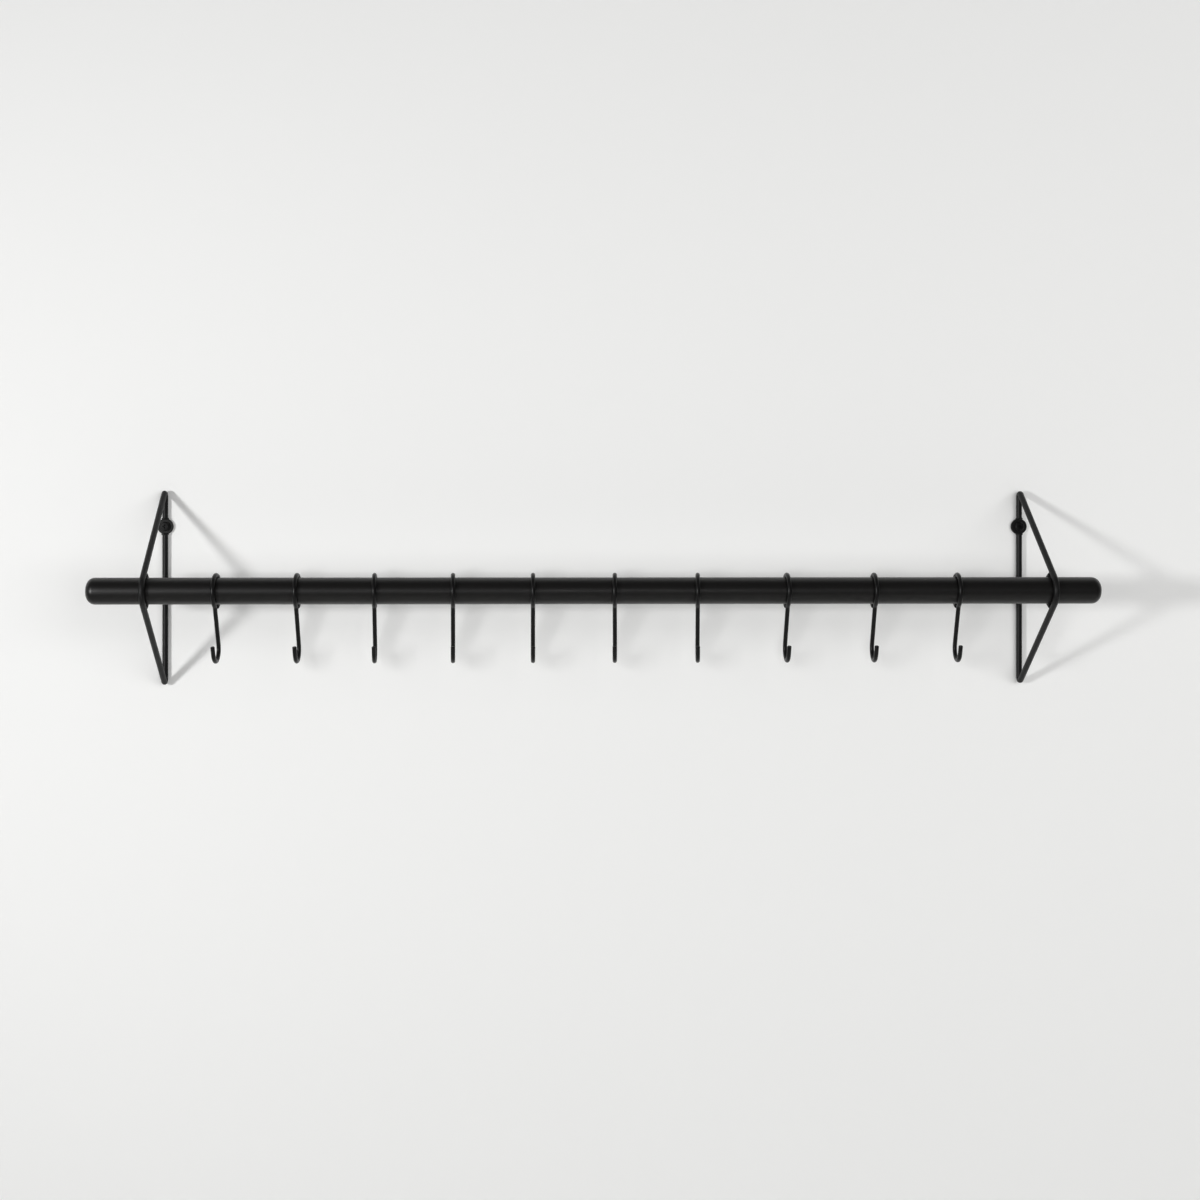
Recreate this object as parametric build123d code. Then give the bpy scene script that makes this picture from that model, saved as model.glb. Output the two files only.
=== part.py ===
from build123d import *
import math
import os

# A wall coat rack: a round wooden rail in two triangular wire brackets, with wire hooks that slide on it.
# Millimetres. +X runs right along the rail, +Y goes into the wall, +Z is up.
# The origin is on the wall's face, midway between the two screws.

# The rail
rail_diameter = 25.0
rail_length = 942.0
rail_end_radius = 8.0
left_overhang = 53.5
right_overhang = 45.5

# The brackets. Heights are measured from the rail's axis
bracket_height = 190.0
bracket_wire = 5.6
corner_inner_radius = 0.3
rail_standoff = 95.0
rail_fit = 0.15
retainer_wire = 4.0
weld_gap = 0.05

# The screw plates, welded between the two ends of the bracket wire, with their middle this far below
# the bracket's top
plate_diameter = 15.5
plate_thickness = 3.0
plate_below_top = 35.0
screw_clearance = 0.25
plate_edge_break = 0.4

# The pan head screws. A plain neck under the head passes through the plate, and the threaded shank
# starts where the plate ends, at the wall's face
screw_diameter = 4.5
neck_diameter = 3.4
screw_length = 40.0
screw_point = 6.0
screw_tip_diameter = 0.6
head_diameter = 9.0
head_thickness = 3.0
head_rounding = 1.6
recess_width = 4.4
recess_arm = 1.1
recess_depth = 1.8

# The hooks. The wire curls round the rail, steps back under it, leans down towards the wall and turns up
# to a tip. Bends are measured to the wire's centreline
hook_count = 10
hook_wire = 4.0
eye_clearance = 0.5
eye_rest_gap = 0.3
eye_end_angle = 258.0
eye_angle = 320.0
neck_radius = 6.0
neck_angle = 40.0
shank_length = 36.1
mouth_radius = 11.0
mouth_angle = 180.0
tip_length = 8.0
wire_end_rounding = 0.7

# Where the hooks hang: the room from each bracket to its nearest hook, how far each hook
# has been pushed from its even place, and how far its tip is turned to the right
left_room = 65.5
right_room = 88.3
hook_slips = [0.0, -2.0, -7.0, -11.0, -13.4, -13.9, -13.3, -6.6, -1.6, 0.0]
hook_turns = [-3.6, -6.1, -1.7, -1.9, 2.9, -7.8, -2.3, -1.6, -3.6, -4.1]

# Sizes that follow
bracket_spacing = rail_length - left_overhang - right_overhang
rail_radius = rail_diameter / 2
plate_height = bracket_height / 2 - plate_below_top
rail_drop = plate_height
round_rail_radius = rail_radius + rail_fit + bracket_wire / 2
corner_radius = bracket_wire / 2 + corner_inner_radius
retainer_radius = rail_radius + rail_fit + retainer_wire / 2
eye_radius = rail_radius + eye_clearance + hook_wire / 2
eye_drop = eye_clearance - eye_rest_gap
corner_out = bracket_wire / 2 + corner_radius
corner_height = bracket_height / 2 - corner_out


def side_plane(x, drop=0.0):
    """The upright plane across the rail at x: its own x runs out from the rail's axis, away from the wall."""
    return Plane(origin=(x, -rail_standoff, -rail_drop - drop), x_dir=(0, -1, 0), z_dir=(-1, 0, 0))


def run_straight(last, length):
    """A straight run on from the end of the last piece of a path."""
    return Line(last @ 1, last @ 1 + (last % 1) * length)


def run_round(last, radius, turn):
    """A bend on from the end of the last piece of a path: a positive turn is to the left."""
    return JernArc(last @ 1, last % 1, radius, turn)


def round_wire(pieces, diameter, rounding=0.0):
    """A round wire along a path, cut square at both ends, with the cut edges eased."""
    path = Wire(pieces)
    wire = sweep(Plane(origin=path @ 0, z_dir=path % 0) * Circle(diameter / 2), path)
    if rounding:
        wire = fillet(wire.faces().filter_by(GeomType.PLANE).edges(), rounding)
    return wire


def leg_slope():
    """The angle of the sloping legs, which are tangent to the bends at the wall and round the rail."""
    out = rail_standoff - corner_out
    apart = math.hypot(out, corner_height)
    slope = math.atan2(corner_height, out) - math.asin((round_rail_radius - corner_radius) / apart)
    length = math.sqrt(apart**2 - (round_rail_radius - corner_radius) ** 2)
    return math.degrees(slope), length


def wall_bracket_wire():
    """One rod bent to a triangle, from the plate's top edge round the rail and back to its bottom edge."""
    slope, leg = leg_slope()
    wall_line = bracket_wire / 2 - rail_standoff
    # How far above and below the screw the plate's edge is at the wire's flanks
    reach = math.sqrt((plate_diameter / 2) ** 2 - (bracket_wire / 2) ** 2)
    top_end = Line((wall_line, plate_height + reach), (wall_line, corner_height))
    top_bend = run_round(top_end, corner_radius, -(90 + slope))
    top_leg = run_straight(top_bend, leg)
    front = run_round(top_leg, round_rail_radius, -(180 - 2 * slope))
    low_leg = run_straight(front, leg)
    low_bend = run_round(low_leg, corner_radius, -(90 + slope))
    low_end = run_straight(low_bend, corner_height + plate_height - reach)
    wire = round_wire([top_end, top_bend, top_leg, front, low_leg, low_bend, low_end], bracket_wire)
    # The ends are coped to the plate's round edge
    seat = Cylinder(plate_diameter / 2 + weld_gap, 2 * bracket_wire, rotation=(90, 0, 0))
    return side_plane(0).location * wire - seat


def rail_retainer():
    """A half ring behind the rail, between the two sloping legs."""
    slope, _ = leg_slope()
    leg_side = 90 - slope
    to_leg = (bracket_wire + retainer_wire) / 2 + weld_gap
    start = leg_side + math.degrees(math.acos((round_rail_radius - to_leg) / retainer_radius))
    ring = CenterArc((0, 0), retainer_radius, start, 2 * (180 - start))
    return side_plane(0).location * round_wire([ring], retainer_wire)


def screw_plate():
    """A flat round plate against the wall, with the screw hole through it."""
    plate = Cylinder(plate_diameter / 2, plate_thickness, align=(Align.CENTER, Align.CENTER, Align.MIN))
    plate = chamfer(plate.edges(), plate_edge_break)
    plate -= Cylinder(screw_diameter / 2 + screw_clearance, 3 * plate_thickness)
    return Rotation(90, 0, 0) * plate


def wall_screw():
    """A pan head screw with a cross recess: its head sits on the plate and its shank goes into the wall."""
    low = (Align.CENTER, Align.CENTER, Align.MIN)
    head = Cylinder(head_diameter / 2, head_thickness, align=low)
    head = fillet(head.edges().sort_by(Axis.Z)[-1], head_rounding)
    cross = Rectangle(recess_width, recess_arm) + Rectangle(recess_arm, recess_width)
    head -= extrude(Pos(0, 0, head_thickness) * cross, -recess_depth)
    neck = Pos(0, 0, -plate_thickness) * Cylinder(neck_diameter / 2, plate_thickness, align=low)
    shank_foot = screw_length - screw_point
    shank = Pos(0, 0, -shank_foot) * Cylinder(screw_diameter / 2, shank_foot - plate_thickness, align=low)
    point = Cone(screw_tip_diameter / 2, screw_diameter / 2, screw_point, align=low)
    point = Pos(0, 0, -screw_length) * point
    return Pos(0, -plate_thickness, 0) * Rotation(90, 0, 0) * (head + neck + shank + point)


def rail():
    """A turned dowel with rounded ends."""
    bar = Cylinder(rail_radius, rail_length, align=(Align.CENTER, Align.CENTER, Align.MIN))
    bar = fillet(bar.edges().filter_by(GeomType.CIRCLE), min(rail_end_radius, 0.9 * rail_radius))
    left_end = -bracket_spacing / 2 - left_overhang
    return Pos(left_end, -rail_standoff, -rail_drop) * Rotation(0, 90, 0) * bar


def hook():
    """One wire: an eye round the rail, a step back under it, a leaning shank and a mouth with a short tip."""
    end = math.radians(eye_end_angle)
    start = (eye_radius * math.cos(end), eye_radius * math.sin(end))
    heading = (math.sin(end), -math.cos(end))
    eye = JernArc(start, heading, eye_radius, -eye_angle)
    neck = run_round(eye, neck_radius, neck_angle)
    shank = run_straight(neck, shank_length)
    mouth = run_round(shank, mouth_radius, mouth_angle)
    tip = run_straight(mouth, tip_length)
    return round_wire([eye, neck, shank, mouth, tip], hook_wire, wire_end_rounding)


def hook_place(number):
    """Where a hook hangs along the rail."""
    first = -bracket_spacing / 2 + left_room
    step = (bracket_spacing - left_room - right_room) / (hook_count - 1)
    return first + number * step + hook_slips[number]


def hung_hook(number):
    """A hook in its place, resting on the rail and turned a little about its own upright axis."""
    place = side_plane(hook_place(number), eye_drop).location
    return place * Rotation(0, hook_turns[number], 0) * hook()


parts = {"rail": rail()}
for side, x in (("left", -bracket_spacing / 2), ("right", bracket_spacing / 2)):
    parts[f"bracket_wire_{side}"] = Pos(x, 0, 0) * wall_bracket_wire()
    parts[f"rail_retainer_{side}"] = Pos(x, 0, 0) * rail_retainer()
    parts[f"screw_plate_{side}"] = Pos(x, 0, 0) * screw_plate()
    parts[f"wall_screw_{side}"] = Pos(x, 0, 0) * wall_screw()
for number in range(hook_count):
    parts[f"hook_{number + 1:02d}"] = hung_hook(number)

os.makedirs("parts", exist_ok=True)
for name, shape in parts.items():
    export_step(shape, f"parts/{name}.step")
    print(f"{name}: {shape.volume:.1f} mm3")
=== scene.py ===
# %% [markdown]
# # A wall coat rack of wood and bent wire
#
# A stained wooden rail runs through the eyes of two triangular wire brackets, and ten wire hooks hang
# on it. The construction is already fixed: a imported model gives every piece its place, and this lesson
# dresses it. Each round piece is made again as a smooth swept or turned mesh on the same centre line,
# then it gets the fine things that a hand would feel, such as thread, weld ripples and wood grain.
#
# Everything is in metres, in the model's own frame: +X runs right along the rail, +Y goes into the
# wall and +Z is up. The origin is on the wall's face, midway between the two screws.

# %% Load the fixed model
import math

import bmesh
import bpy
import numpy as np
from mathutils import Matrix, Vector, noise


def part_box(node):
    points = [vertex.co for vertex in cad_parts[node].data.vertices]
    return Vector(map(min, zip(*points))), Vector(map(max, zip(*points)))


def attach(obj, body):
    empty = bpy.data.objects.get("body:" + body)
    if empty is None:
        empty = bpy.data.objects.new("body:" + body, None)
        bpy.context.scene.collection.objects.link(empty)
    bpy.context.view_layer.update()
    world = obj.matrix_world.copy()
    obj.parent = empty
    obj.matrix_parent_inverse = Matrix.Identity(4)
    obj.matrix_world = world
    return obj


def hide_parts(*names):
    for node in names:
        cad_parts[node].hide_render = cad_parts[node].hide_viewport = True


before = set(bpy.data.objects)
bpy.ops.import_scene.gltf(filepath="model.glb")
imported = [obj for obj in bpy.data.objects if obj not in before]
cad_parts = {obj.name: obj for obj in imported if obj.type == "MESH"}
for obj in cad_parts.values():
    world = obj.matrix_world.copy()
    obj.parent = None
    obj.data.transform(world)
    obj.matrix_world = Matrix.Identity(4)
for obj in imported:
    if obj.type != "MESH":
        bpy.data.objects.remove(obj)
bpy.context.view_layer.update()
MM = 0.001
print("nodes in the model:", len(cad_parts))

# %% [markdown]
# ## The camera
#
# The photograph was taken from straight in front, a little left of the rack's middle and a little above
# the rail. The way the bracket legs fan out gives the camera's place: the vanishing point of everything
# that runs straight out from the wall. The frame was cropped afterwards, which is what a small lens
# shift is for, because a turned camera would tilt the rail.

# %% The camera, in the photograph's place
PHOTO_SIDE = 1200
FOCAL_PIXELS = 1611
AXIS_PIXEL = (531.4, 531.1)
CAMERA_PLACE = Vector((-98.5, -1590.0, -4.6)) * MM
CAMERA_TURN = math.radians(1.3)
SENSOR_MM = 36

camera_data = bpy.data.cameras.new("camera")
camera_data.sensor_width = SENSOR_MM
camera_data.lens = SENSOR_MM * FOCAL_PIXELS / PHOTO_SIDE
camera_data.shift_x = (PHOTO_SIDE / 2 - AXIS_PIXEL[0]) / PHOTO_SIDE
camera_data.shift_y = (AXIS_PIXEL[1] - PHOTO_SIDE / 2) / PHOTO_SIDE
camera = bpy.data.objects.new("camera", camera_data)
camera.location = CAMERA_PLACE
camera.rotation_euler = (math.pi / 2, 0, -CAMERA_TURN)
bpy.context.scene.collection.objects.link(camera)
bpy.context.scene.camera = camera
print("lens:", round(camera_data.lens, 1), "mm")

# %% [markdown]
# ## Small tools for materials
#
# A colour is easiest to read off a picture as a hex value, but a shader works in linear light, so one
# function turns the one into the other. A second one adds a node: its own settings come by name, and
# each input takes a number or another node's output.

# %% Colour and node helpers
def linear(hex_colour):
    """A hex colour, as a screen shows it, turned to the linear values that a shader takes."""
    parts = [int(hex_colour[i:i + 2], 16) / 255 for i in (1, 3, 5)]
    return [p / 12.92 if p <= 0.04045 else ((p + 0.055) / 1.055) ** 2.4 for p in parts] + [1.0]


def add_node(tree, kind, inputs=None, **settings):
    """One shader node with its settings, and its inputs joined or set."""
    made = tree.nodes.new(kind)
    for name, value in settings.items():
        setattr(made, name, value)
    for name, value in (inputs or {}).items():
        if isinstance(value, bpy.types.NodeSocket):
            tree.links.new(value, made.inputs[name])
        else:
            made.inputs[name].default_value = value
    return made


def start_material(name, **shader_values):
    """A new material, its node tree and its main shader with plain values set on its sockets."""
    material = bpy.data.materials.new(name)
    material.use_nodes = True
    tree = material.node_tree
    shader = tree.nodes["Principled BSDF"]
    for socket, value in shader_values.items():
        shader.inputs[socket.replace("_", " ")].default_value = value
    return material, tree, shader


def per_metre(size_mm):
    """A noise scale that makes one pattern cell about this many millimetres wide."""
    return 1 / (size_mm * MM)


print("mid grey in linear light:", round(linear("#808080")[0], 3))

# %% [markdown]
# ## The rail's finish: beech dowel, stained black and lacquered
#
# A dowel is turned with the grain along it, so every mark runs lengthwise: broad growth bands some
# millimetres wide, and short dark flecks where the pores were cut. Black stain hides the colour but not
# the relief, and a thin satin lacquer follows it. What the eye gets is a soft highlight along the rail
# that breaks up into streaks. A rubbed lacquer scatters some of its mirror-like reflection, so its
# specular level is a little under the usual half. The streaks come from noise that is stretched along X,
# once for the bands and once for the flecks, and both move the roughness and the bump more than the
# colour.

# %% Lacquered black-stained beech
BAND_WIDTH_MM, BAND_LENGTH_MM = 5.0, 160.0
FLECK_WIDTH_MM, FLECK_LENGTH_MM = 0.7, 14.0
GRAIN_RELIEF_MM = 0.05
STAIN_DEEP, STAIN_THIN = "#090808", "#121110"
LACQUER_SPECULAR = 0.38


def lengthwise_noise(tree, place, width_mm, length_mm, detail):
    """Noise whose cells are long along X and narrow across."""
    stretched = add_node(tree, "ShaderNodeMapping", {
        "Vector": place,
        "Scale": (per_metre(length_mm), per_metre(width_mm), per_metre(width_mm)),
    })
    return add_node(tree, "ShaderNodeTexNoise", {
        "Vector": stretched.outputs["Vector"], "Scale": 1.0, "Detail": detail, "Roughness": 0.6,
    })


def stained_beech():
    material, tree, shader = start_material("lacquered_black_stained_beech", IOR=1.5,
                                            Specular_IOR_Level=LACQUER_SPECULAR)
    place = add_node(tree, "ShaderNodeTexCoord").outputs["Object"]
    bands = lengthwise_noise(tree, place, BAND_WIDTH_MM, BAND_LENGTH_MM, 3.0)
    flecks = lengthwise_noise(tree, place, FLECK_WIDTH_MM, FLECK_LENGTH_MM, 2.0)
    grain = add_node(tree, "ShaderNodeMath", {0: bands.outputs["Fac"], 1: flecks.outputs["Fac"]},
                     operation="MULTIPLY")
    colour = add_node(tree, "ShaderNodeValToRGB", {"Fac": grain.outputs[0]})
    colour.color_ramp.elements[0].position = 0.12
    colour.color_ramp.elements[0].color = linear(STAIN_DEEP)
    colour.color_ramp.elements[1].position = 0.42
    colour.color_ramp.elements[1].color = linear(STAIN_THIN)
    gloss = add_node(tree, "ShaderNodeMapRange", {
        "Value": grain.outputs[0], "From Min": 0.1, "From Max": 0.45, "To Min": 0.46, "To Max": 0.3,
    })
    relief = add_node(tree, "ShaderNodeBump", {
        "Height": grain.outputs[0], "Strength": 0.35, "Distance": GRAIN_RELIEF_MM * MM,
    })
    tree.links.new(colour.outputs["Color"], shader.inputs["Base Color"])
    tree.links.new(gloss.outputs["Result"], shader.inputs["Roughness"])
    tree.links.new(relief.outputs["Normal"], shader.inputs["Normal"])
    return material


beech = stained_beech()
print("made", beech.name)

# %% [markdown]
# ## The brackets' finish: mild steel wire, powder coated black
#
# Powder coat is sprayed dry and melts in an oven into a skin that never gets quite flat. Its surface has
# the faint peel of an orange, with dimples about half a millimetre wide, so the highlight on the wire is
# soft and slightly broken. The hooks are dipped instead, in a thinner and smoother coat with finer
# dimples, which shines a little more. The screws have only the thin dark skin of an oxide bath. One
# function makes all three, from the size of the dimples and how rough the skin is. A matt black scatters
# more of its mirror-like reflection than a lacquer, so its specular level is lower.

# %% Powder-coated steel, and dip-coated steel wire
MATT_SPECULAR = 0.25


def coated_steel(name, skin, dimple_mm, relief_mm, rough_from, rough_to):
    """Steel under a black skin: dimples in the bump, and a roughness that drifts between two values."""
    material, tree, shader = start_material(name, IOR=1.5, Specular_IOR_Level=MATT_SPECULAR)
    place = add_node(tree, "ShaderNodeTexCoord").outputs["Object"]
    dimples = add_node(tree, "ShaderNodeTexNoise", {
        "Vector": place, "Scale": per_metre(dimple_mm), "Detail": 2.0, "Roughness": 0.5,
    })
    drift = add_node(tree, "ShaderNodeTexNoise", {
        "Vector": place, "Scale": per_metre(12 * dimple_mm), "Detail": 3.0,
    })
    colour = add_node(tree, "ShaderNodeValToRGB", {"Fac": drift.outputs["Fac"]})
    colour.color_ramp.elements[0].position = 0.3
    colour.color_ramp.elements[0].color = linear(skin[0])
    colour.color_ramp.elements[1].position = 0.7
    colour.color_ramp.elements[1].color = linear(skin[1])
    gloss = add_node(tree, "ShaderNodeMapRange", {
        "Value": drift.outputs["Fac"],
        "From Min": 0.3, "From Max": 0.7, "To Min": rough_from, "To Max": rough_to,
    })
    relief = add_node(tree, "ShaderNodeBump", {
        "Height": dimples.outputs["Fac"], "Strength": 0.4, "Distance": relief_mm * MM,
    })
    tree.links.new(colour.outputs["Color"], shader.inputs["Base Color"])
    tree.links.new(gloss.outputs["Result"], shader.inputs["Roughness"])
    tree.links.new(relief.outputs["Normal"], shader.inputs["Normal"])
    return material


powder_coat = coated_steel("powder_coated_mild_steel", ("#0e0e0e", "#151515"), 0.5, 0.05, 0.4, 0.5)
dip_coat = coated_steel("dip_coated_steel_wire", ("#0a0a0a", "#101010"), 0.3, 0.02, 0.3, 0.4)
screw_black = coated_steel("black_oxide_screw_steel", ("#070707", "#0d0d0d"), 0.2, 0.02, 0.42, 0.55)
print("made", powder_coat.name, dip_coat.name, screw_black.name)

# %% [markdown]
# ## Measuring the model
#
# Nothing here is placed by eye. The rail's axis and thickness, the brackets' planes and the wire's thickness
# all come from the boxes of the model's own nodes. A hook lies in one upright plane that is turned a
# little from square, so seen from above its corners lie along a line, and the direction of that line is
# the hook's turn.

# %% Where the pieces are
def middle(node):
    low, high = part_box(node)
    return (low + high) / 2


def size(node):
    low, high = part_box(node)
    return high - low


RAIL_AXIS_Y, RAIL_AXIS_Z = middle("rail").y, middle("rail").z
RAIL_RADIUS = size("rail").y / 2
STANDOFF = -RAIL_AXIS_Y
BRACKET_X = {side: middle(f"bracket_wire_{side}").x for side in ("left", "right")}
BRACKET_WIRE = size("bracket_wire_left").x / 2
BRACKET_HALF = size("bracket_wire_left").z / 2
RETAINER_WIRE = size("rail_retainer_left").x / 2
PLATE_RADIUS = size("screw_plate_left").x / 2
PLATE_THICKNESS = size("screw_plate_left").y
PLATE_UP = middle("screw_plate_left").z - RAIL_AXIS_Z
HOOKS = sorted(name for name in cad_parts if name.startswith("hook_"))


def hook_place(node):
    """A hook's place along the rail and its turn, from the line its corners make seen from above."""
    points = np.array([v.co[:2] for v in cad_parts[node].data.vertices])
    centre = points.mean(axis=0)
    spread = np.cov((points - centre).T)
    along = np.linalg.eigh(spread)[1][:, 1]
    if along[1] > 0:
        along = -along
    x = centre[0] + along[0] / along[1] * (RAIL_AXIS_Y - centre[1])
    return x, math.atan2(along[0], -along[1])


print("hooks' turns in degrees:", [round(math.degrees(hook_place(name)[1]), 1) for name in HOOKS])

# %% [markdown]
# ## Sweeping a round wire
#
# All the wire here lies flat in an upright plane: it is a chain of straight runs and round bends. A
# path is walked like a turtle, forwards by a length or round by an angle, and leaves a station every few
# degrees. A ring of corners at each station makes the wire. A curve object with a bevel could do it too,
# but rings let the cut ends be eased and coped, which is what shows on real wire.

# %% Path walking and wire meshes
BEND_STEP = math.radians(4)
STRAIGHT_STEP = 6 * MM
WIRE_SIDES = 40


def walk(start, heading, moves):
    """Stations (out, up, heading) of a path. A move is a length, or a radius with an angle to turn."""
    stations = [(start[0], start[1], heading)]
    for move in moves:
        out, up, facing = stations[-1]
        if isinstance(move, tuple):
            radius, turn = move
            side = math.copysign(1, turn)
            centre = (out - side * radius * math.sin(facing), up + side * radius * math.cos(facing))
            steps = max(2, math.ceil(abs(turn) / BEND_STEP))
            for i in range(1, steps + 1):
                now = facing + turn * i / steps
                swing = (side * radius * math.sin(now), side * radius * math.cos(now))
                stations.append((centre[0] + swing[0], centre[1] - swing[1], now))
        else:
            steps = max(1, math.ceil(move / STRAIGHT_STEP))
            for i in range(1, steps + 1):
                far = move * i / steps
                stations.append((out + far * math.cos(facing), up + far * math.sin(facing), facing))
    return stations


def eased_ends(stations, radius, easing):
    """The same stations with each cut end rounded over: a list of (out, up, heading, ring radius)."""
    rings = [(*s, radius) for s in stations]
    quarter = [math.radians(a) for a in (0, 22.5, 45, 67.5, 90)]
    for end, way in ((0, -1), (-1, 1)):
        out, up, facing = stations[end]
        near = [(out - way * easing * (1 - math.sin(a)) * math.cos(facing),
                 up - way * easing * (1 - math.sin(a)) * math.sin(facing),
                 facing, radius - easing * (1 - math.cos(a))) for a in quarter]
        if end == 0:
            rings = near[::-1] + rings[1:]
        else:
            rings = rings[:-1] + near
    return rings


def finish_mesh(name, mesh_maker, material, body, replaced=None, smooth_angle=40):
    """Turns a bmesh into a shaded object that rides on its body and stands for its node."""
    bmesh.ops.recalc_face_normals(mesh_maker, faces=mesh_maker.faces)
    mesh = bpy.data.meshes.new(name)
    mesh_maker.to_mesh(mesh)
    mesh_maker.free()
    mesh.materials.append(material)
    piece = bpy.data.objects.new(name, mesh)
    bpy.context.scene.collection.objects.link(piece)
    mesh.shade_smooth()
    mesh.set_sharp_from_angle(angle=math.radians(smooth_angle))
    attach(piece, body)
    if replaced:
        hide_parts(replaced)
    return piece


def skin_rings(rings):
    """A bmesh skin over rings of corners, closed with a flat face at each end."""
    mesh_maker = bmesh.new()
    grid = [[mesh_maker.verts.new(corner) for corner in ring] for ring in rings]
    sides = len(grid[0])
    for near, far in zip(grid, grid[1:]):
        for i in range(sides):
            j = (i + 1) % sides
            mesh_maker.faces.new((near[i], near[j], far[j], far[i]))
    mesh_maker.faces.new(grid[0][::-1])
    mesh_maker.faces.new(grid[-1])
    return mesh_maker


def wire_rings(rings, x, drop=0.0, turn=0.0):
    """Corners of each ring of a wire in the upright plane at x, turned about the rail's upright."""
    placed = []
    turned = Matrix.Rotation(turn, 3, "Z")
    for out, up, facing, radius in rings:
        corners = []
        for i in range(WIRE_SIDES):
            a = 2 * math.pi * i / WIRE_SIDES
            across, along = radius * math.cos(a), radius * math.sin(a)
            flat = Vector((across, -(out - along * math.sin(facing)), up + along * math.cos(facing)))
            corners.append(turned @ flat + Vector((x, RAIL_AXIS_Y, RAIL_AXIS_Z - drop)))
        placed.append(corners)
    return placed


print("wire sides:", WIRE_SIDES)

# %% [markdown]
# ## The rail
#
# A dowel rounded over at both ends: a straight bar, a quarter round of 8 mm and a small flat. It is a
# turned thing, so it is a profile carried round an axis. Real dowels are never quite round or straight,
# and a few hundredths of a millimetre of slow drift in the radius makes the long highlight waver.

# %% Turn the rail
END_RADIUS = 8 * MM
END_STEPS, RAIL_STEPS = 12, 120
RAIL_SIDES = 96
RAIL_DRIFT = 0.03 * MM


def rail_profile(length):
    """(place along the rail, radius) from end to end."""
    angles = [math.radians(90 / END_STEPS * i) for i in range(END_STEPS + 1)]
    round_over = [(END_RADIUS * (1 - math.cos(a)), RAIL_RADIUS - END_RADIUS * (1 - math.sin(a)))
                  for a in angles]
    span = length - 2 * END_RADIUS
    straight = [(END_RADIUS + span * i / RAIL_STEPS, RAIL_RADIUS) for i in range(1, RAIL_STEPS)]
    return round_over + straight + [(length - along, radius) for along, radius in round_over[::-1]]


def make_rail():
    low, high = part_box("rail")
    rings = []
    for along, radius in rail_profile(high.x - low.x):
        ring = []
        for i in range(RAIL_SIDES):
            a = 2 * math.pi * i / RAIL_SIDES
            x = low.x + along
            wander = noise.noise(Vector((x * 9, 1.5 * math.cos(a), 1.5 * math.sin(a))))
            r = radius - RAIL_DRIFT * (0.5 + 0.5 * wander)
            ring.append((x, RAIL_AXIS_Y + r * math.cos(a), RAIL_AXIS_Z + r * math.sin(a)))
        rings.append(ring)
    return finish_mesh("stained_rail", skin_rings(rings), beech, "rack", "rail")


rail = make_rail()
print("rail faces:", len(rail.data.polygons))

# %% [markdown]
# ## The bracket wires
#
# One rod makes each triangle. It starts at the top edge of the screw plate, runs up the wall, turns
# sharply, comes down and out to the rail, rounds it, and goes back the same way to the plate's bottom
# edge. The sloping legs are tangent to both bends, so their slope follows from where the bends are. The
# last ring at each end is moved onto the plate's round edge, as a welder would grind it to fit.

# %% Bend the bracket wires
CORNER_RADIUS = BRACKET_WIRE + 0.3 * MM
RAIL_FIT = 0.15 * MM
WELD_GAP = 0.05 * MM
ROUND_RAIL = RAIL_RADIUS + RAIL_FIT + BRACKET_WIRE
CORNER_OUT = BRACKET_WIRE + CORNER_RADIUS
CORNER_UP = BRACKET_HALF - CORNER_OUT
LEG_SPAN = math.hypot(STANDOFF - CORNER_OUT, CORNER_UP)
LEG_SLOPE = math.atan2(CORNER_UP, STANDOFF - CORNER_OUT) - math.asin((ROUND_RAIL - CORNER_RADIUS) / LEG_SPAN)
LEG_LENGTH = math.sqrt(LEG_SPAN ** 2 - (ROUND_RAIL - CORNER_RADIUS) ** 2)


def cope(ring, x, way):
    """Moves a ring of corners up or down onto the plate's round edge."""
    rim = PLATE_RADIUS + WELD_GAP
    plate_z = RAIL_AXIS_Z + PLATE_UP
    return [Vector((c.x, c.y, plate_z + way * math.sqrt(rim ** 2 - (c.x - x) ** 2))) for c in ring]


def make_bracket_wire(side):
    x = BRACKET_X[side]
    wall_line = BRACKET_WIRE - STANDOFF
    corner, lap = (CORNER_RADIUS, -(math.pi / 2 + LEG_SLOPE)), (ROUND_RAIL, -(math.pi - 2 * LEG_SLOPE))
    top_run = CORNER_UP - PLATE_UP - PLATE_RADIUS
    foot_run = CORNER_UP + PLATE_UP - PLATE_RADIUS
    moves = [top_run, corner, LEG_LENGTH, lap, LEG_LENGTH, corner, foot_run]
    stations = walk((wall_line, PLATE_UP + PLATE_RADIUS), math.pi / 2, moves)
    rings = wire_rings([(*s, BRACKET_WIRE) for s in stations], x)
    rings[0] = cope(rings[0], x, 1)
    rings[-1] = cope(rings[-1], x, -1)
    return finish_mesh(f"wire_triangle_{side}", skin_rings(rings), powder_coat, "rack",
                       f"bracket_wire_{side}", 60)


triangles = [make_bracket_wire(side) for side in ("left", "right")]
print("leg slope:", round(math.degrees(LEG_SLOPE), 1), "degrees")

# %% [markdown]
# ## The half rings behind the rail
#
# A shorter and thinner wire closes each eye behind the rail. Its ends stop where they meet the sloping
# legs, which is worked out from the distance between a point of the ring and the leg's line.

# %% Bend the half rings
RETAINER_RADIUS = RAIL_RADIUS + RAIL_FIT + RETAINER_WIRE
TO_LEG = BRACKET_WIRE + RETAINER_WIRE + WELD_GAP
RETAINER_START = math.pi / 2 - LEG_SLOPE + math.acos((ROUND_RAIL - TO_LEG) / RETAINER_RADIUS)


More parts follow.
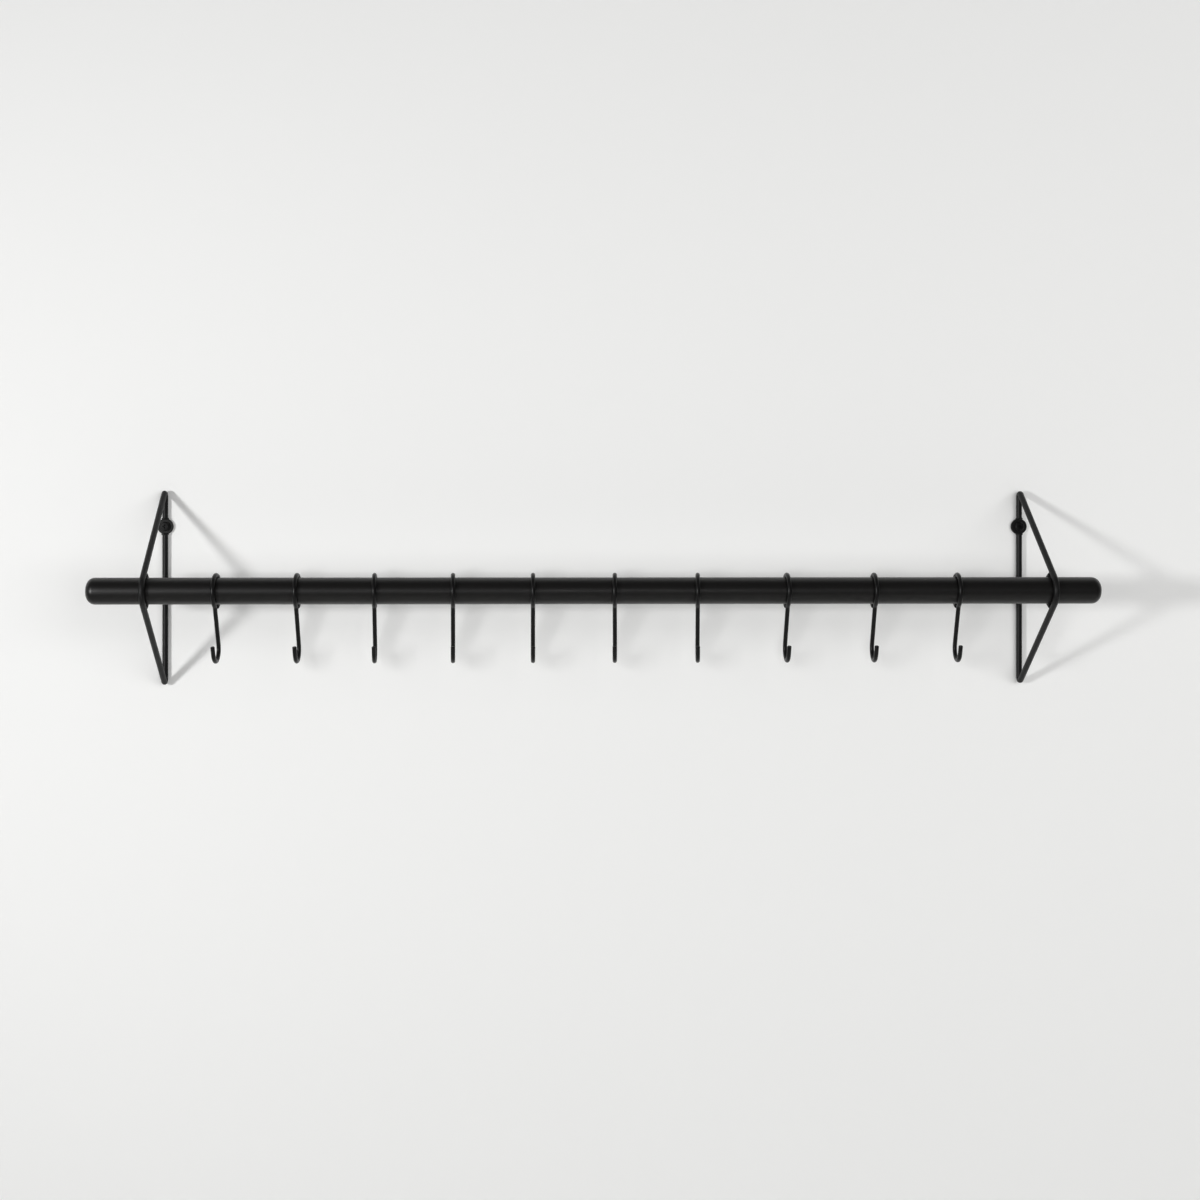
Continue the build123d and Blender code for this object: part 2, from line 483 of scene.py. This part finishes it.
def make_retainer(side):
    start = (RETAINER_RADIUS * math.cos(RETAINER_START), RETAINER_RADIUS * math.sin(RETAINER_START))
    half_turn = (RETAINER_RADIUS, 2 * math.pi - 2 * RETAINER_START)
    stations = walk(start, RETAINER_START + math.pi / 2, [half_turn])
    rings = wire_rings(eased_ends(stations, RETAINER_WIRE, 0.2 * MM), BRACKET_X[side])
    return finish_mesh(f"half_ring_{side}", skin_rings(rings), powder_coat, "rack",
                       f"rail_retainer_{side}", 50)


half_rings = [make_retainer(side) for side in ("left", "right")]
print("half ring starts at", round(math.degrees(RETAINER_START), 1), "degrees")

# %% [markdown]
# ## The screw plates
#
# These are punched discs and already right in the model, with their eased edges and their hole, so the
# nodes stay and only take the powder coat.

# %% Coat the plates
for side in ("left", "right"):
    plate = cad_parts[f"screw_plate_{side}"]
    plate.data.materials.clear()
    plate.data.materials.append(powder_coat)
print("plates are", round(2 * PLATE_RADIUS / MM, 1), "mm across")

# %% [markdown]
# ## Welds
#
# A weld bead is a row of small frozen puddles. Here it is a thin lumpy ring round the wire at the joint,
# with a ripple for each puddle, half sunk in both parts and covered by the same powder coat. Each bead
# lies a hair in front of the wall, because the plates and the wire rest flat on it.

# %% Lay the weld beads
BEAD = 0.75 * MM
BEAD_STRETCH = 1.2
PUDDLES = 9
RIPPLE, LUMPS = 0.12, 0.3
OFF_WALL = 0.02 * MM
BEAD_AROUND, BEAD_SIDES = 72, 12


def weld_bead(name, centre, axis, ring_radius, seed):
    """A rippled ring round an axis, kept in front of the wall."""
    axis = axis.normalized()
    across = axis.orthogonal().normalized()
    other = axis.cross(across)
    mesh_maker = bmesh.new()
    grid = []
    for i in range(BEAD_AROUND):
        a = 2 * math.pi * i / BEAD_AROUND
        outward = across * math.cos(a) + other * math.sin(a)
        lump = noise.noise(outward * 2.3 + Vector((seed, 0, 0)))
        thick = BEAD * (1 + RIPPLE * math.cos(PUDDLES * a) + LUMPS * lump)
        row = []
        for j in range(BEAD_SIDES):
            b = 2 * math.pi * j / BEAD_SIDES
            point = centre + outward * (ring_radius + thick * math.cos(b))
            point += axis * thick * BEAD_STRETCH * math.sin(b)
            point.y = min(point.y, -OFF_WALL)
            row.append(mesh_maker.verts.new(point))
        grid.append(row)
    for i in range(BEAD_AROUND):
        k = (i + 1) % BEAD_AROUND
        for j in range(BEAD_SIDES):
            m = (j + 1) % BEAD_SIDES
            mesh_maker.faces.new((grid[i][j], grid[i][m], grid[k][m], grid[k][j]))
    return finish_mesh(name, mesh_maker, powder_coat, "rack", None, 60)


beads = []
for side, x in BRACKET_X.items():
    for word, way in (("upper", 1), ("lower", -1)):
        at = Vector((x, -BRACKET_WIRE, RAIL_AXIS_Z + PLATE_UP + way * (PLATE_RADIUS - 0.2 * MM)))
        up = Vector((0, 0, 1))
        beads.append(weld_bead(f"plate_weld_{side}_{word}", at, up, BRACKET_WIRE, 3 * len(beads)))
        end = Vector((x, RAIL_AXIS_Y - RETAINER_RADIUS * math.cos(RETAINER_START),
                      RAIL_AXIS_Z + way * RETAINER_RADIUS * math.sin(RETAINER_START)))
        tangent = Vector((0, math.sin(RETAINER_START), way * math.cos(RETAINER_START)))
        beads.append(weld_bead(f"ring_weld_{side}_{word}", end, tangent, RETAINER_WIRE, 3 * len(beads)))
print("weld beads:", len(beads))

# %% [markdown]
# ## The screws
#
# A pan head screw of 4.5 mm: a low dome with a cross recess, a plain neck through the plate, and a coarse
# wood thread down to the point. The thread is one surface whose radius rises along a helix: each turn
# climbs by one pitch, so the radius depends only on how far a corner is past the last crest.

# %% Turn and thread the screws
HEAD_RADIUS, HEAD_THICKNESS, HEAD_ROUNDING = 4.5 * MM, 3.0 * MM, 1.6 * MM
NECK_RADIUS = 1.7 * MM
THREAD_RADIUS, CORE_RADIUS, PITCH = 2.25 * MM, 1.55 * MM, 2.0 * MM
CREST_SHARE = 0.22
SCREW_LENGTH, POINT_LENGTH, TIP_RADIUS = 40 * MM, 6 * MM, 0.3 * MM
RECESS_WIDTH, RECESS_ARM, RECESS_DEPTH = 4.4 * MM, 1.1 * MM, 1.8 * MM
RECESS_TAPER = 0.72
SCREW_SIDES = 48
THREAD_ROWS = 10


def thread_radius(along, a, start):
    """The shank's radius at a depth and an angle: narrow crests on a core, tapering at the point."""
    past = ((along - start) / PITCH - a / (2 * math.pi)) % 1
    crest = max(0.0, 1 - abs(past - 0.5) / CREST_SHARE)
    left = (SCREW_LENGTH - along) / POINT_LENGTH
    taper = min(1.0, left)
    run_in = min(1.0, (along - start) / PITCH)
    core = TIP_RADIUS + (CORE_RADIUS - TIP_RADIUS) * taper
    return core + (THREAD_RADIUS - CORE_RADIUS) * crest * taper * run_in


def screw_rings():
    """Rings from the middle of the head's dome to the point. Depth is measured from the head's seat."""
    rings = []
    top = -HEAD_THICKNESS
    dome = [(top, 0.3 * MM), (top, HEAD_RADIUS - HEAD_ROUNDING)]
    dome += [(top + HEAD_ROUNDING * (1 - math.cos(a)), HEAD_RADIUS - HEAD_ROUNDING * (1 - math.sin(a)))
             for a in (math.radians(15 * i) for i in range(1, 7))]
    start = PLATE_THICKNESS
    plain = dome + [(0.0, HEAD_RADIUS), (0.0, NECK_RADIUS), (start, NECK_RADIUS), (start, CORE_RADIUS)]
    for along, radius in plain:
        rings.append([(along, radius, 2 * math.pi * i / SCREW_SIDES) for i in range(SCREW_SIDES)])
    rows = math.ceil((SCREW_LENGTH - start) / PITCH * THREAD_ROWS)
    for row in range(1, rows + 1):
        along = start + (SCREW_LENGTH - start) * row / rows
        angles = [2 * math.pi * i / SCREW_SIDES for i in range(SCREW_SIDES)]
        rings.append([(along, thread_radius(along, a, start), a) for a in angles])
    return rings


def cross_cutter(x, z):
    """A solid cross, narrower at its foot, that cuts the driver's recess."""
    arm, reach = RECESS_ARM / 2, RECESS_WIDTH / 2
    outline = [(arm, arm), (arm, reach), (-arm, reach), (-arm, arm), (-reach, arm), (-reach, -arm),
               (-arm, -arm), (-arm, -reach), (arm, -reach), (arm, -arm), (reach, -arm), (reach, arm)]
    face_y = -PLATE_THICKNESS - HEAD_THICKNESS
    rings = []
    for depth, share in ((-1.0 * MM, 1.0), (0.0, 1.0), (RECESS_DEPTH, RECESS_TAPER)):
        rings.append([(x + share * u, face_y + depth, z + share * v) for u, v in outline])
    mesh_maker = skin_rings(rings)
    bmesh.ops.recalc_face_normals(mesh_maker, faces=mesh_maker.faces)
    mesh = bpy.data.meshes.new("cross_cutter")
    mesh_maker.to_mesh(mesh)
    mesh_maker.free()
    cutter = bpy.data.objects.new("cross_cutter", mesh)
    bpy.context.scene.collection.objects.link(cutter)
    return cutter


def make_screw(side):
    centre = middle(f"screw_plate_{side}")
    rings = [[(centre.x + r * math.cos(a), along - PLATE_THICKNESS, centre.z + r * math.sin(a))
              for along, r, a in ring] for ring in screw_rings()]
    screw = finish_mesh(f"pan_head_screw_{side}", skin_rings(rings), screw_black, "rack",
                        f"wall_screw_{side}", 35)
    cutter = cross_cutter(centre.x, centre.z)
    cut = screw.modifiers.new("recess", "BOOLEAN")
    cut.operation, cut.solver, cut.object = "DIFFERENCE", "EXACT", cutter
    bpy.context.view_layer.update()
    shaped = bpy.data.meshes.new_from_object(screw.evaluated_get(bpy.context.evaluated_depsgraph_get()))
    screw.modifiers.clear()
    screw.data = shaped
    bpy.data.objects.remove(cutter)
    screw.data.set_sharp_from_angle(angle=math.radians(35))
    return screw


screws = [make_screw(side) for side in ("left", "right")]
print("screw faces:", len(screws[0].data.polygons))

# %% [markdown]
# ## The hooks
#
# Ten alike, each bent from one wire: most of a full turn round the rail, a step back underneath, a
# shank that leans down towards the wall, and a half round mouth, so that the tip comes up along the same
# lean. That puts the hook's weight right below the rail. The cut ends are eased, because coats hang on
# them. All ten share the walk, and each one takes its place and its turn from the model. An eye is loose
# on its rail, so a hook can also swivel a few degrees. How far each one does is read off the photograph,
# to a whole degree.

# %% Bend the hooks
HOOK_WIRE = 2.0 * MM
EYE_CLEARANCE, EYE_REST_GAP = 0.5 * MM, 0.3 * MM
EYE_RADIUS = RAIL_RADIUS + EYE_CLEARANCE + HOOK_WIRE
EYE_END, EYE_SWEEP = math.radians(258), math.radians(320)
STEP_RADIUS, STEP_ANGLE = 6.0 * MM, math.radians(40)
SHANK_LENGTH, MOUTH_RADIUS, TIP_LENGTH = 36.1 * MM, 11.0 * MM, 8.0 * MM
END_EASING = 0.7 * MM
SWIVEL_DEGREES = dict(zip(HOOKS, (0, 3, 3, 3, -4, 3, -4, 1, 1, 1)))


def make_hook(node):
    x, turn = hook_place(node)
    turn += math.radians(SWIVEL_DEGREES[node])
    start = (EYE_RADIUS * math.cos(EYE_END), EYE_RADIUS * math.sin(EYE_END))
    moves = [(EYE_RADIUS, -EYE_SWEEP), (STEP_RADIUS, STEP_ANGLE), SHANK_LENGTH, (MOUTH_RADIUS, math.pi),
             TIP_LENGTH]
    stations = walk(start, EYE_END - math.pi / 2, moves)
    rings = wire_rings(eased_ends(stations, HOOK_WIRE, END_EASING), x, EYE_CLEARANCE - EYE_REST_GAP, turn)
    return finish_mesh(f"wire_{node}", skin_rings(rings), dip_coat, node, node, 50)


hooks = [make_hook(node) for node in HOOKS]
print("hooks:", len(hooks), "with", len(hooks[0].data.polygons), "faces each")

# %% [markdown]
# ## The wall and the floor
#
# The rack hangs on a smooth white painted wall, and its shadows on that wall are half of how it reads. A
# roller leaves a very faint peel in the paint. A rack on a wall is also looked at from behind, so the
# wall lets light through when it is met from its back. The floor lies well below, as in a hallway.

# %% Paint the wall and lay the floor
WALL_SIZE, FLOOR_DROP = 7.0, 1.6


def wall_paint():
    material, tree, shader = start_material("matt_wall_paint", Roughness=0.85, IOR=1.45)
    shader.inputs["Base Color"].default_value = linear("#f1f1f0")
    place = add_node(tree, "ShaderNodeTexCoord").outputs["Object"]
    peel = add_node(tree, "ShaderNodeTexNoise", {"Vector": place, "Scale": per_metre(3), "Detail": 2.0})
    relief = add_node(tree, "ShaderNodeBump", {
        "Height": peel.outputs["Fac"], "Strength": 0.05, "Distance": 0.1 * MM,
    })
    tree.links.new(relief.outputs["Normal"], shader.inputs["Normal"])
    behind = add_node(tree, "ShaderNodeNewGeometry").outputs["Backfacing"]
    clear = add_node(tree, "ShaderNodeBsdfTransparent")
    mixed = add_node(tree, "ShaderNodeMixShader", {
        "Fac": behind, 1: shader.outputs["BSDF"], 2: clear.outputs["BSDF"],
    })
    tree.links.new(mixed.outputs["Shader"], tree.nodes["Material Output"].inputs["Surface"])
    return material


def floor_paint():
    material, _, shader = start_material("pale_floor", Roughness=0.7)
    shader.inputs["Base Color"].default_value = linear("#dededc")
    return material


def stage_sheet(name, corners, material):
    """One flat sheet of the stage, its front to the side that its corners go round anticlockwise."""
    mesh = bpy.data.meshes.new(name)
    mesh.from_pydata(corners, [], [(0, 1, 2, 3)])
    mesh.materials.append(material)
    sheet = bpy.data.objects.new(name, mesh)
    bpy.context.scene.collection.objects.link(sheet)
    return sheet


half = WALL_SIZE / 2
wall_corners = [(-half, 0, -FLOOR_DROP), (half, 0, -FLOOR_DROP), (half, 0, half), (-half, 0, half)]
floor_corners = [(x, y, -FLOOR_DROP) for x, y in ((-half, -half), (half, -half), (half, half), (-half, half))]
wall = stage_sheet("wall", wall_corners, wall_paint())
floor = stage_sheet("floor", floor_corners, floor_paint())
print("stage pieces:", wall.name, floor.name)

# %% [markdown]
# ## The light
#
# The shadows tell where the light was: a small softbox well to the left, just above the height of the
# rail, so each wire throws a soft band to the right that gets paler with distance. It is aimed at the
# far end of the wall, because a lamp is brightest straight ahead and the near end gets enough anyway.
# The wall is almost evenly bright from left to right, which one lamp can't do, so a second source fills
# it in from the front and the right. It is wide, tall and far off, so all that is left of its shadow is a
# faint darkening close above and below the rail. The narrow streak along the rail is the reflection of
# something wide and low straight in front, and a third, weak lamp stands for it. The streak fades to the
# right, so the fill is kept out of glossy rays. The world adds a little from everywhere.

# %% Set the lamps
def soft_box(name, place, target, width, height, watts):
    """An area lamp that faces a target."""
    lamp = bpy.data.lights.new(name, "AREA")
    lamp.shape = "RECTANGLE"
    lamp.size, lamp.size_y = width, height
    lamp.energy = watts
    holder = bpy.data.objects.new(name, lamp)
    holder.location = Vector(place)
    holder.rotation_euler = (Vector(target) - Vector(place)).to_track_quat("-Z", "Y").to_euler()
    bpy.context.scene.collection.objects.link(holder)
    return holder


KEY_WATTS, FILL_WATTS, FRONT_WATTS = 20.5, 46, 7
WORLD_STRENGTH = 0.12
key = soft_box("key_softbox", (-1.435, -1.402, 0.004), (2.0, 0, -0.06), 0.22, 0.22, KEY_WATTS)
fill = soft_box("fill_softbox", (1.75, -2.4, 0.25), (1.75, 0, 0), 3.0, 1.8, FILL_WATTS)
fill.visible_glossy = False
front = soft_box("front_softbox", (-0.4, -2.4, 0.02), (-0.4, 0, -0.06), 2.3, 0.4, FRONT_WATTS)
world = bpy.data.worlds.new("room")
world.use_nodes = True
world.node_tree.nodes["Background"].inputs["Color"].default_value = linear("#f2f2f2")
world.node_tree.nodes["Background"].inputs["Strength"].default_value = WORLD_STRENGTH
bpy.context.scene.world = world
bpy.context.scene.view_settings.view_transform = "Standard"
print("lamps:", key.name, fill.name, front.name)
